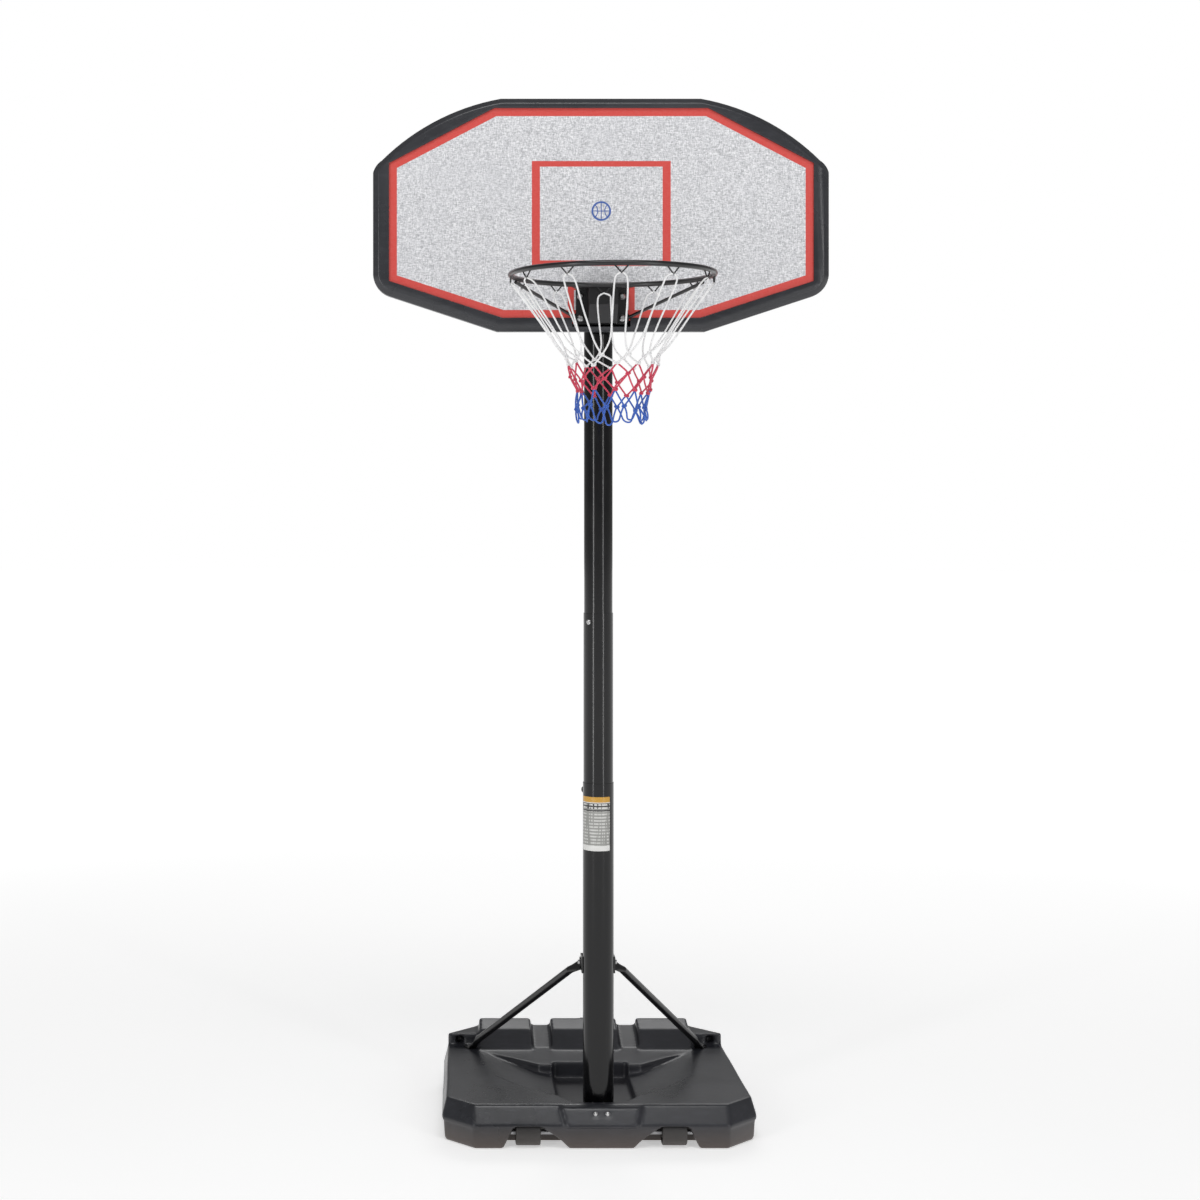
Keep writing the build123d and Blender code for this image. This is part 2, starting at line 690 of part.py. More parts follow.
def strut(side):
    """A tube whose two ends are pressed flat: upright at the pole, level on the tank."""
    way = Vector(side * strut_way.X, strut_way.Y, strut_way.Z)
    top = Vector(side * strut_top.X, strut_top.Y, strut_top.Z)
    foot = Vector(side * strut_foot.X, strut_foot.Y, strut_foot.Z)
    ends = (
        (top, Vector(0, way.Y, way.Z).normalized(), Vector(side, 0, 0), way),
        (foot, Vector(-way.X, -way.Y, 0).normalized(), Vector(0, 0, 1), way * -1),
    )
    rings = []
    for spot, lead, face_normal, inward in ends:
        across = lead.cross(face_normal)
        flat_plane = Plane(origin=spot - face_normal * (strut_tab / 2), x_dir=lead, z_dir=face_normal)
        with BuildSketch(flat_plane) as flat:
            with Locations((tab_flat / 2, 0)):
                Rectangle(tab_flat, strut_tab_width)
            Circle(strut_tab_width / 2)
        extrude(flat.sketch, amount=strut_tab)
        with BuildSketch(Plane(origin=spot + lead * tab_flat, x_dir=across, z_dir=lead)) as mouth:
            Rectangle(strut_tab_width, strut_tab)
        ring_plane = Plane(origin=spot + inward * (tab_flat + flare), x_dir=across, z_dir=inward)
        with BuildSketch(ring_plane) as ring:
            Circle(strut_radius)
        loft([mouth.sketch.face(), ring.sketch.face()])
        rings.append(ring_plane.origin)
    span = rings[1] - rings[0]
    rod(rings[0], way, strut_radius, span.length)
    rod(rings[0] + way * 2.0, way, strut_radius - strut_wall, span.length - 4.0, mode=Mode.SUBTRACT)
    hole = strut_bolt_radius + hole_clearance
    rod(top - Vector(side * 10.0, 0, 0), (side, 0, 0), hole, 20.0, mode=Mode.SUBTRACT)
    rod(foot - Vector(0, 0, 10.0), (0, 0, 1), hole, 20.0, mode=Mode.SUBTRACT)


for side, name in ((-1, "strut_left"), (1, "strut_right")):
    with BuildPart() as strut_part:
        strut(side)
    write(strut_part.part, name)

tab_outside = saddle_outer + strut_tab
with BuildPart() as strut_top_bolts:
    for side in (-1, 1):
        seat = (side * tab_outside, strut_bolt_y, strut_height)
        hex_end(seat, (side, 0, 0), strut_bolt_hex, 4.0)
        rod(seat, (-side, 0, 0), strut_bolt_radius, strut_tab + saddle_sheet + 6.5)
write(strut_top_bolts.part, "strut_top_bolts")

with BuildPart() as strut_top_nuts:
    for side in (-1, 1):
        seat = (side * (saddle_outer - saddle_sheet), strut_bolt_y, strut_height)
        hex_end(seat, (-side, 0, 0), strut_bolt_hex, 5.0)
        rod(seat, (-side, 0, 0), strut_bolt_radius, 8.0, mode=Mode.SUBTRACT)
write(strut_top_nuts.part, "strut_top_nuts")

with BuildPart() as strut_foot_bolts:
    for side in (-1, 1):
        seat = (side * strut_seat_x, strut_seat_y, deck_height + strut_tab)
        hex_end(seat, (0, 0, 1), strut_bolt_hex, 4.0)
        rod(seat, (0, 0, -1), strut_bolt_radius, strut_tab + 20.0)
write(strut_foot_bolts.part, "strut_foot_bolts")

with BuildPart() as strut_inserts:
    for side in (-1, 1):
        seat = (side * strut_seat_x, strut_seat_y, deck_height)
        rod(seat, (0, 0, -1), strut_insert_radius, strut_insert_length)
        rod(seat, (0, 0, -1), strut_bolt_radius, 20.5, mode=Mode.SUBTRACT)
write(strut_inserts.part, "strut_inserts")

# ------------------------------------------------------------------ board
front_plane = Plane.XZ.offset(board_face)
shoulder_run = 310.0
shoulder_drop = 151.0
cheek_drop = 180.0
cheek_rise = 137.0
heel_run = 42.0
heel_rise = 85.0
sole_run = 301.0


def board_sketch(plane, inward):
    """The board's outline on an upright plane, moved inwards by an even margin."""
    wide = board_half_width
    with BuildSketch(plane) as outline:
        with BuildLine():
            top = Line((0, board_top), (wide - shoulder_run, board_top))
            arc_end = (wide - 20.0, board_top - shoulder_drop)
            arc_middle = (wide - 152.0, board_top - 54.0)
            crown = ThreePointArc(top @ 1, arc_middle, arc_end)
            cheek_end = (wide, board_top - cheek_drop)
            cheek = ThreePointArc(crown @ 1, (wide - 6.0, board_top - cheek_drop + 14.0), cheek_end)
            side_line = Line(cheek @ 1, (wide, board_bottom + cheek_rise))
            heel_end = (wide - heel_run, board_bottom + heel_rise)
            heel = ThreePointArc(side_line @ 1, (wide - 11.0, board_bottom + heel_rise + 22.0), heel_end)
            sole = Line(heel @ 1, (wide - sole_run, board_bottom))
            Line(sole @ 1, (0, board_bottom))
            mirror(about=Plane.YZ)
        make_face()
        if inward:
            offset(amount=-inward, kind=Kind.INTERSECTION)
    return outline.sketch


# The printed border's inner edge is a plain octagon, and the frame's opening follows it.
border_width = 19.0
opening_half = [
    (board_half_width - sole_run - 12.0, board_bottom + frame_band_bottom),
    (board_half_width - frame_band_side, board_bottom + 122.0),
    (board_half_width - frame_band_side, board_top - 158.0),
    (board_half_width - shoulder_run + 16.0, board_top - frame_band_top),
]


def opening_sketch(plane):
    """The eight-sided opening in the frame."""
    with BuildSketch(plane) as opening:
        with BuildLine():
            Polyline(*mirrored(opening_half), close=True)
        make_face()
    return opening.sketch


# Screws from the back run through the back moulding and the panel into the frame's land.
board_screw_radius = 2.2
board_screw_inset = 7.5
board_post_radius = 5.5
board_screw_bite = 4.5
low_start, low_end, high_end, high_start = moved_in(mirrored(opening_half), [-board_screw_inset] * 8)[:4]
board_screw_half = [
    (low_start[0] * 0.6, low_start[1]),
    ((low_start[0] + low_end[0]) / 2, (low_start[1] + low_end[1]) / 2),
    (low_end[0], (low_end[1] + high_end[1]) / 2),
    ((high_end[0] + high_start[0]) / 2, (high_end[1] + high_start[1]) / 2),
    (high_start[0] * 0.5, high_start[1]),
]
board_screw_spots = [(side * x, z) for x, z in board_screw_half for side in (-1, 1)]
rim_bolt_spots = [(side * rim_bolt_x, height) for side in (-1, 1) for height in (rim_bolt_low, rim_bolt_high)]
plate_screw_x = plate_outer + plate_flange - 14.0
plate_screw_spots = [(side * plate_screw_x, height) for side in (-1, 1) for height in plate_screw_heights]

with BuildPart() as board_panel:
    panel_shape = board_sketch(Plane.XZ.offset(panel_back), frame_side + 0.4)
    extrude(panel_shape, amount=panel_thick)
    with BuildSketch(front_plane):
        with Locations(*rim_bolt_spots):
            Circle(rim_bolt_radius + hole_clearance)
        with Locations(*board_screw_spots):
            Circle(board_screw_radius + hole_clearance)
    extrude(amount=-panel_thick, mode=Mode.SUBTRACT)
write(board_panel.part, "board_panel")

frame_front = board_face + frame_lip
frame_back = back_plane + 2.0
notch_half = bracket_width / 2 + 8.5
with BuildPart() as board_frame:
    bevel_start = frame_front - frame_bevel
    extrude(board_sketch(Plane.XZ.offset(frame_back), 0.0), amount=bevel_start - frame_back)
    extrude(board_sketch(Plane.XZ.offset(bevel_start), 0.0), amount=frame_bevel, taper=45)
    inside = board_sketch(Plane.XZ.offset(frame_back), frame_side)
    extrude(inside, amount=board_face - frame_back, mode=Mode.SUBTRACT)
    extrude(opening_sketch(front_plane), amount=frame_lip, mode=Mode.SUBTRACT)
    with BuildSketch(front_plane):
        with Locations((0, board_bottom + frame_band_bottom)):
            Rectangle(2 * notch_half, 44.0)
    extrude(amount=frame_lip, mode=Mode.SUBTRACT)
    with BuildSketch(front_plane):
        with Locations(*board_screw_spots):
            Circle(board_screw_radius)
    extrude(amount=board_screw_bite, mode=Mode.SUBTRACT)
write(board_frame.part, "board_frame")

with BuildPart() as board_back:
    extrude(board_sketch(Plane.XZ.offset(back_plane), frame_side + 0.4), amount=back_depth)
    extrude(
        board_sketch(Plane.XZ.offset(back_plane + back_wall), frame_side + 0.4 + back_wall),
        amount=back_depth - back_wall,
        mode=Mode.SUBTRACT,
    )
    with BuildSketch(Plane.XZ.offset(back_plane)):
        with Locations(*rim_bolt_spots, *plate_screw_spots):
            Circle(10.0)
        with Locations(*board_screw_spots):
            Circle(board_post_radius)
    extrude(amount=back_depth)
    with BuildSketch(Plane.XZ.offset(back_plane)) as ribs:
        with Locations((0, (side_plate_low + side_plate_high) / 2)):
            Rectangle(2 * (plate_outer + plate_flange) + 16.0, side_plate_high - side_plate_low + 24.0)
        with Locations((0, board_bottom + 160.0), (0, board_bottom + 380.0)):
            Rectangle(2 * board_half_width - 120.0, rib_width)
        for side in (-1, 1):
            with Locations((side * (board_half_width - 222.0), (board_bottom + board_top) / 2 - 12.0)):
                Rectangle(rib_width, board_height - 165.0)
            with Locations((side * (plate_outer + plate_flange + 110.0), (board_bottom + board_top) / 2)):
                Rectangle(rib_width, board_height - 165.0)
    extrude(amount=-back_rib)
    with BuildSketch(Plane.XZ.offset(panel_back)):
        with Locations(*rim_bolt_spots):
            Circle(rim_bolt_radius + hole_clearance)
        with Locations(*board_screw_spots):
            Circle(board_screw_radius + hole_clearance)
    extrude(amount=-back_depth - back_rib, mode=Mode.SUBTRACT)
    with BuildSketch(Plane.XZ.offset(pad_plane)):
        with Locations(*plate_screw_spots):
            Circle(plate_screw_radius)
    extrude(amount=20.0, mode=Mode.SUBTRACT)
write(board_back.part, "board_back")

with BuildPart() as board_screws:
    for x, z in board_screw_spots:
        seat = (x, -back_plane, z)
        dome_end(seat, (0, 1, 0), 5.0, 2.6)
        rod(seat, (0, -1, 0), board_screw_radius, board_face + board_screw_bite - back_plane - 0.5)
write(board_screws.part, "board_screws")

# ------------------------------------------------------------------ plates on the pole
plate_bevel = 26.0
for side, name in ((-1, "side_plate_left"), (1, "side_plate_right")):
    with BuildPart() as plate:
        web = [
            (-flange_back, side_plate_low + 4.0),
            (24.0, side_plate_low + plate_bevel),
            (24.0, side_plate_high - plate_bevel),
            (-flange_back, side_plate_high - 4.0),
        ]
        low_x = min(side * plate_inner, side * plate_outer)
        along_x(web, low_x, low_x + side_plate)
        near, far = side * plate_inner, side * (plate_outer + plate_flange)
        flange = [(near, -pad_plane), (far, -pad_plane), (far, -flange_back), (near, -flange_back)]
        with BuildSketch(Plane.XY.offset(side_plate_low)):
            with BuildLine():
                Polyline(*flange, close=True)
            make_face()
        extrude(amount=side_plate_high - side_plate_low)
        for height in plate_bolt_heights:
            start = (side * (plate_inner - 5.0), 0, height)
            rod(start, (side, 0, 0), plate_bolt_radius + hole_clearance, 15.0, mode=Mode.SUBTRACT)
        holes = [(spot, rim_bolt_radius + hole_clearance) for spot in rim_bolt_spots]
        holes += [(spot, plate_screw_radius + hole_clearance) for spot in plate_screw_spots]
        for (x, z), radius in holes:
            if x * side > 0:
                rod((x, -pad_plane - 5.0, z), (0, 1, 0), radius, 12.0, mode=Mode.SUBTRACT)
    write(plate.part, name)

with BuildPart() as plate_bolts:
    for height in plate_bolt_heights:
        seat = (plate_outer, 0, height)
        hex_end(seat, (1, 0, 0), 17.0, 6.4)
        rod(seat, (-1, 0, 0), plate_bolt_radius, 2 * plate_outer + 12.0)
write(plate_bolts.part, "plate_bolts")

with BuildPart() as plate_nuts:
    for height in plate_bolt_heights:
        hex_end((-plate_outer, 0, height), (-1, 0, 0), 17.0, 8.4)
        rod((-plate_outer, 0, height), (-1, 0, 0), plate_bolt_radius, 12.0, mode=Mode.SUBTRACT)
write(plate_nuts.part, "plate_nuts")

sleeve_radius = plate_bolt_radius + hole_clearance + 2.0
top_bore = top_radius - tube_wall
sleeve_half = sqrt(top_bore**2 - sleeve_radius**2) - 0.1
with BuildPart() as plate_sleeves:
    for height in plate_bolt_heights:
        end = (-sleeve_half, 0, height)
        rod(end, (1, 0, 0), sleeve_radius, 2 * sleeve_half)
        rod(end, (1, 0, 0), plate_bolt_radius + hole_clearance, 2 * sleeve_half, mode=Mode.SUBTRACT)
write(plate_sleeves.part, "plate_sleeves")

with BuildPart() as plate_screws:
    for x, z in plate_screw_spots:
        seat = (x, -flange_back, z)
        dome_end(seat, (0, 1, 0), 5.0, 3.0)
        rod(seat, (0, -1, 0), plate_screw_radius, side_plate + 18.0)
write(plate_screws.part, "plate_screws")

# ------------------------------------------------------------------ rim
rim_center = (0, rim_center_y, rim_height)
with BuildPart() as rim_ring:
    with Locations(rim_center):
        Torus(rim_radius, rim_bar)
write(rim_ring.part, "rim_ring")

bracket_back = -board_face
bracket_front = rim_center_y + rim_radius - rim_bar
plate_top = rim_height + 2.0
gusset_front = bracket_front + 12.0
with BuildPart() as rim_bracket:
    with BuildSketch(front_plane):
        with Locations((0, bracket_low + bracket_height / 2)):
            Rectangle(bracket_width, bracket_height)
    extrude(amount=bracket_sheet)
    with BuildSketch(Plane.XY.offset(plate_top - 4.0)):
        with BuildLine():
            Polyline(
                (-bracket_width / 2, bracket_back),
                (-rim_plate_half, rim_center_y + rim_radius - 24.0),
                (rim_plate_half, rim_center_y + rim_radius - 24.0),
                (bracket_width / 2, bracket_back),
                close=True,
            )
        make_face()
        with Locations((0, rim_center_y)):
            Circle(rim_radius + rim_bar * 0.94, mode=Mode.SUBTRACT)
    extrude(amount=4.0)
    gusset = [
        (bracket_back - 1.0, bracket_low),
        (gusset_front + 26.0, bracket_low),
        (gusset_front, bracket_low + 42.0),
        (gusset_front, plate_top - 2.0),
        (bracket_back - 1.0, plate_top - 2.0),
    ]
    along_x(gusset, -gusset_width / 2, gusset_width / 2)
    hollow = [
        (gusset_front + 29.0, bracket_low - 1.0),
        (gusset_front + bracket_sheet, bracket_low + 43.0),
        (gusset_front + bracket_sheet, plate_top - 4.0),
        (bracket_back - bracket_sheet, plate_top - 4.0),
        (bracket_back - bracket_sheet, bracket_low - 1.0),
    ]
    inner = gusset_width / 2 - bracket_sheet
    along_x(hollow, -inner, inner, mode=Mode.SUBTRACT)
    for x, z in rim_bolt_spots:
        rod((x, -board_face + 5.0, z), (0, -1, 0), rim_bolt_radius + hole_clearance, 12.0, mode=Mode.SUBTRACT)
    with Locations(rim_center):
        Torus(rim_radius, rim_bar, mode=Mode.SUBTRACT)
write(rim_bracket.part, "rim_bracket")

# Each brace runs from under the ring to a flat ear beneath a lower rim bolt.
brace_ends = {}
brace_turn = radians(20.0)
ear_thick = 4.0
ear_front = -board_face - bracket_sheet - ear_thick
for side, name in ((-1, "rim_brace_left"), (1, "rim_brace_right")):
    under_ring = rim_height - rim_bar - brace_radius + 1.0
    ring_spot = (side * rim_radius * cos(brace_turn), rim_center_y + rim_radius * sin(brace_turn))
    start = Vector(*ring_spot, under_ring)
    ear = Vector(side * (rim_bolt_x + 13.0), ear_front + ear_thick / 2, rim_bolt_low + 1.0)
    brace_ends[name] = (start, ear)
    with BuildPart() as brace:
        rod(start, (ear - start).normalized(), brace_radius, (ear - start).length - 1.5)
        with BuildSketch(Plane.XZ.offset(-ear_front - ear_thick)):
            with Locations((side * (rim_bolt_x + 3.0), rim_bolt_low)):
                RectangleRounded(26.0, 22.0, 5.0)
        extrude(amount=ear_thick)
        fillet(brace.edges().filter_by(GeomType.CIRCLE).sort_by(Axis.Y)[0], radius=1.5)
        bolt_line = (side * rim_bolt_x, 0, rim_bolt_low)
        rod(bolt_line, (0, -1, 0), rim_bolt_radius + hole_clearance, 200.0, mode=Mode.SUBTRACT)
        with Locations(rim_center):
            Torus(rim_radius, rim_bar, mode=Mode.SUBTRACT)
    write(brace.part, name)

# V-shaped wire hooks under the ring hold the net.
with BuildPart() as net_hooks:
    for turn in range(hook_count):
        angle = radians(360.0 * turn / hook_count - 90.0)
        out = Vector(cos(angle), sin(angle), 0)
        along = Vector(-sin(angle), cos(angle), 0)
        middle = Vector(*rim_center) + out * rim_radius
        lowest = middle - Vector(0, 0, rim_bar + hook_drop)
        for way in (-1, 1):
            top = middle + along * (way * hook_span / 2) - out * 0.5 - Vector(0, 0, rim_bar - 1.0)
            rod(lowest, (top - lowest).normalized(), hook_wire, (top - lowest).length)
        with Locations(lowest):
            Sphere(hook_wire)
    with Locations(rim_center):
        Torus(rim_radius, rim_bar, mode=Mode.SUBTRACT)
write(net_hooks.part, "net_hooks")

with BuildPart() as rim_bolts:
    for x, z in rim_bolt_spots:
        front = ear_front if z == rim_bolt_low else -board_face - bracket_sheet
        dome_end((x, front, z), (0, -1, 0), 8.5, 5.0)
        rod((x, front, z), (0, 1, 0), rim_bolt_radius, -front - flange_back + 11.0)
write(rim_bolts.part, "rim_bolts")

nut_washer = 1.6
with BuildPart() as rim_washers:
    for x, z in rim_bolt_spots:
        rod((x, -flange_back, z), (0, 1, 0), 8.0, nut_washer)
        rod((x, -flange_back - 1.0, z), (0, 1, 0), rim_bolt_radius + hole_clearance, 10.0, mode=Mode.SUBTRACT)
write(rim_washers.part, "rim_washers")

with BuildPart() as rim_nuts:
    for x, z in rim_bolt_spots:
        hex_end((x, -flange_back + nut_washer, z), (0, 1, 0), 13.0, 6.5)
        rod((x, -flange_back, z), (0, 1, 0), rim_bolt_radius, 20.0, mode=Mode.SUBTRACT)
write(rim_nuts.part, "rim_nuts")

# ------------------------------------------------------------------ net
# The net's outer shape as a thin sleeve, open at both ends, hung from the hooks.
net_top = rim_height - rim_bar - hook_drop - hook_wire - 1.5
net_length = 320.0
net_cord = 1.2
net_profile = [(rim_radius - 2.0, 0.0), (104.0, 0.54), (84.0, 0.755), (80.0, 1.0)]
with BuildPart() as net:
    with BuildSketch(Plane.XZ):
        with BuildLine():
            outside = [(radius, net_top - drop * net_length) for radius, drop in net_profile]
            inside = [(radius - net_cord, height) for radius, height in reversed(outside)]
            Polyline(*outside, *inside, close=True)
        make_face()
    revolve(axis=Axis.Z)
    split(bisect_by=Plane.XY.offset(net_top + 1.0), keep=Keep.BOTTOM)
with BuildPart() as net_hung:
    add(net.part.moved(Location((0, rim_center_y, 0))))
    for start, ear in brace_ends.values():
        rod(start, (ear - start).normalized(), brace_radius + 2.0, (ear - start).length, mode=Mode.SUBTRACT)
write(net_hung.part, "net")
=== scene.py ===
"""Portable basketball hoop: the looks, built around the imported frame.

Metres, +Z up, the rim towards -Y. Sizes come from the frame's nodes, so a piece sits where its part does.
"""

import json
import random
from math import cos, pi, radians, sin

import bpy
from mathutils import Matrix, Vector

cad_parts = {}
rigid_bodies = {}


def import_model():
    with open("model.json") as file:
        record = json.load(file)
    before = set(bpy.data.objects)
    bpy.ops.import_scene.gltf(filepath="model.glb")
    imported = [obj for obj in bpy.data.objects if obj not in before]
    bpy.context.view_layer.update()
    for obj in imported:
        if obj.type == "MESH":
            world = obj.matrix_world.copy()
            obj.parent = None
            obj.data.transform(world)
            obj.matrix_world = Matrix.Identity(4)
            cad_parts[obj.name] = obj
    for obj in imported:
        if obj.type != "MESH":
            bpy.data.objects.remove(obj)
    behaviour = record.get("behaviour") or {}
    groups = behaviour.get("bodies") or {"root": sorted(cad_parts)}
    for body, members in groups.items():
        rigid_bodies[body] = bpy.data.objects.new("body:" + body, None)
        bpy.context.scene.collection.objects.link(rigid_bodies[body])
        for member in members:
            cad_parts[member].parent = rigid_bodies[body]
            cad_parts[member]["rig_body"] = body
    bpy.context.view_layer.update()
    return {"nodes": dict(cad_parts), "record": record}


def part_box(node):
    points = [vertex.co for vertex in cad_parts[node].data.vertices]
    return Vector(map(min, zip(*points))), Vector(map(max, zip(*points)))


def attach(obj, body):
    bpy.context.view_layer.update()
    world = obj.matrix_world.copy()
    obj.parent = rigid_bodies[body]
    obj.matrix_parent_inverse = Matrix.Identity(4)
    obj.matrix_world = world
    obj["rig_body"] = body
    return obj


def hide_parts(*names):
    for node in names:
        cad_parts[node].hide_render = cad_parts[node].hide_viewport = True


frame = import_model()
nodes = frame["nodes"]
scene = bpy.context.scene
bpy.ops.object.select_all(action="DESELECT")

# ------------------------------------------------------------------ places taken from the frame
frame_low, frame_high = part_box("board_frame")
ring_low, ring_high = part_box("rim_ring")
hook_low, hook_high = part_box("net_hooks")
net_low, net_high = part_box("net")
label_low, label_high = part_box("pole_label")
_, tank_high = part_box("base_tank")
seal_low, seal_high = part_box("cap_seal")

board_half = frame_high.x
board_bottom = frame_low.z
board_top = frame_high.z
ring_center = (ring_low + ring_high) / 2
ring_bar = (ring_high.z - ring_low.z) / 2
hook_circle = (ring_high.x - ring_low.x) / 2 - ring_bar


# ------------------------------------------------------------------ material helpers
class Finish:
    """A node material under construction: one shader, and short calls that add to it."""

    def __init__(self, name, color, roughness, **sockets):
        self.material = bpy.data.materials.new(name)
        self.material.use_nodes = True
        self.tree = self.material.node_tree
        self.shader = self.tree.nodes["Principled BSDF"]
        self.shader.inputs["Base Color"].default_value = (*color, 1.0)
        self.shader.inputs["Roughness"].default_value = roughness
        for socket, value in sockets.items():
            self.shader.inputs[socket.replace("_", " ")].default_value = value
        self.place = self.node("ShaderNodeTexCoord").outputs["Object"]

    def node(self, kind, **settings):
        made = self.tree.nodes.new(kind)
        for key, value in settings.items():
            setattr(made, key, value)
        return made

    def link(self, source, target):
        self.tree.links.new(source, target)

    def scaled(self, scale):
        """Object coordinates stretched differently along each axis."""
        mapping = self.node("ShaderNodeMapping")
        mapping.inputs["Scale"].default_value = scale
        self.link(self.place, mapping.inputs["Vector"])
        return mapping.outputs["Vector"]

    def noise(self, scale, detail=3.0, roughness=0.55, stretch=(1, 1, 1)):
        texture = self.node("ShaderNodeTexNoise")
        texture.inputs["Scale"].default_value = scale
        texture.inputs["Detail"].default_value = detail
        texture.inputs["Roughness"].default_value = roughness
        self.link(self.scaled(stretch), texture.inputs["Vector"])
        return texture.outputs["Fac"]

    def math(self, operation, first, second=0.0, third=0.0):
        made = self.node("ShaderNodeMath", operation=operation)
        for socket, value in zip(made.inputs, (first, second, third)):
            if isinstance(value, (int, float)):
                socket.default_value = value
            else:
                self.link(value, socket)
        return made.outputs["Value"]

    def remap(self, value, low, high, to_low, to_high):
        made = self.node("ShaderNodeMapRange")
        made.inputs["From Min"].default_value = low
        made.inputs["From Max"].default_value = high
        made.inputs["To Min"].default_value = to_low
        made.inputs["To Max"].default_value = to_high
        self.link(value, made.inputs["Value"])
        return made.outputs["Result"]

    def mix(self, factor, first, second):
        """A blend of two colours; each is a colour or another node's output."""
        made = self.node("ShaderNodeMix", data_type="RGBA")
        self.link(factor, made.inputs["Factor"])
        for socket, value in ((made.inputs["A"], first), (made.inputs["B"], second)):
            if isinstance(value, tuple):
                socket.default_value = (*value, 1.0)
            else:
                self.link(value, socket)
        return made.outputs["Result"]

    def color(self, output):
        self.link(output, self.shader.inputs["Base Color"])

    def roughness(self, output):
        self.link(output, self.shader.inputs["Roughness"])

    def bump(self, height, distance, strength=1.0):
        made = self.node("ShaderNodeBump")
        made.inputs["Distance"].default_value = distance
        made.inputs["Strength"].default_value = strength
        self.link(height, made.inputs["Height"])
        self.link(made.outputs["Normal"], self.shader.inputs["Normal"])

    def parts_of(self):
        """The x, y and z of Object coordinates."""
        split = self.node("ShaderNodeSeparateXYZ")
        self.link(self.place, split.inputs["Vector"])
        return split.outputs["X"], split.outputs["Y"], split.outputs["Z"]


def moulded(name, dark, light, rough, grain, grain_depth, dust_and_floor_reflection=0.0, **sockets):
    """Satin moulded plastic: mottled colour, fine grain, rubbed patches and, low down, dust with a painted
    reflection of a brown floor.
    """
    made = Finish(name, dark, rough, **sockets)
    cloud = made.noise(3.5, 5.0, 0.6)
    mottle = made.remap(cloud, 0.35, 0.7, 0.0, 1.0)
    tone = made.mix(mottle, dark, light)
    scuffs = made.noise(26.0, 3.0, 0.5, (1.0, 2.4, 3.0))
    rubbed = made.remap(scuffs, 0.5, 0.9, 0.0, 0.25)
    tone = made.mix(rubbed, tone, tuple(min(1.0, c * 2.4) for c in light))
    # Low down the colour turns brown: dust together with a painted reflection of a brown floor.
    if dust_and_floor_reflection:
        _, _, height = made.parts_of()
        low = made.remap(height, 0.0, 0.06, dust_and_floor_reflection, 0.0)
        tone = made.mix(low, tone, (0.16, 0.12, 0.095))
    made.color(tone)
    made.roughness(made.remap(cloud, 0.3, 0.75, rough - 0.07, rough + 0.09))
    made.bump(made.math("ADD", made.noise(grain, 2.0), made.math("MULTIPLY", scuffs, 0.06)), grain_depth)
    return made.material


def painted(name, color, rough, peel_depth, **sockets):
    """Powder coat over steel: orange peel, a faint dusty haze and hairline rub marks."""
    made = Finish(name, color, rough, **sockets)
    haze = made.noise(9.0, 5.0, 0.65, (1.0, 1.0, 0.35))
    dusty = made.remap(haze, 0.5, 0.8, 0.0, 0.10)
    made.color(made.mix(dusty, color, (0.09, 0.088, 0.085)))
    marks = made.noise(140.0, 3.0, 0.7, (1.0, 1.0, 0.03))
    smear = made.math("ADD", made.remap(haze, 0.3, 0.8, 0.0, 0.12), made.remap(marks, 0.6, 0.8, 0.0, 0.12))
    made.roughness(made.math("ADD", smear, rough - 0.04))
    made.bump(made.noise(420.0, 2.0), peel_depth)
    return made.material


def plated(name, color, rough, brush=(1.0, 1.0, 1.0)):
    """Bright metal with a cloudy plate and fine turning marks."""
    made = Finish(name, color, rough, Metallic=1.0)
    cloud = made.noise(160.0, 4.0, 0.6)
    made.color(made.mix(made.remap(cloud, 0.35, 0.7, 0.0, 1.0), color, tuple(c * 0.72 for c in color)))
    lines = made.noise(900.0, 2.0, 0.5, brush)
    made.roughness(made.math("ADD", made.remap(cloud, 0.3, 0.7, 0.0, 0.14), rough - 0.05))
    made.bump(lines, 0.00006)
    return made.material


def corded(name, color, shade):
    """Braided cord: diagonal plaits, fuzz, grime and painted shade in the plait hollows."""
    made = Finish(name, color, 0.85, Sheen_Weight=0.35, Sheen_Roughness=0.5)
    plait = made.node("ShaderNodeTexWave", wave_type="BANDS", bands_direction="DIAGONAL")
    plait.inputs["Scale"].default_value = 95.0
    plait.inputs["Distortion"].default_value = 2.5
    plait.inputs["Detail"].default_value = 2.0
    made.link(made.place, plait.inputs["Vector"])
    grime = made.noise(30.0, 4.0, 0.6)
    tone = made.mix(made.remap(grime, 0.45, 0.8, 0.0, 0.6), color, shade)
    # Painted shade: the plait hollows are darkened towards the shade colour.
    made.color(made.mix(made.remap(plait.outputs["Fac"], 0.0, 0.45, 0.45, 0.0), tone, shade))
    made.bump(plait.outputs["Fac"], 0.0006)
    return made.material


# ------------------------------------------------------------------ the printed panel
red_print = (0.60, 0.035, 0.028)
blue_print = (0.035, 0.10, 0.36)
border_width = 0.019


def edge_distance(made, across, height, corners):
    """How far a point lies outside a polygon that is even about x = 0, from its right-hand corners."""
    points = [Vector((0.0, corners[0][1])), *[Vector(c) for c in corners], Vector((0.0, corners[-1][1]))]
    worst = None
    for start, end in zip(points, points[1:]):
        run = (end - start).normalized()
        out = Vector((run.y, -run.x))
        here = made.math("MULTIPLY_ADD", across, out.x, -out.dot(start))
        here = made.math("MULTIPLY_ADD", height, out.y, here)
        worst = here if worst is None else made.math("MAXIMUM", worst, here)
    return worst


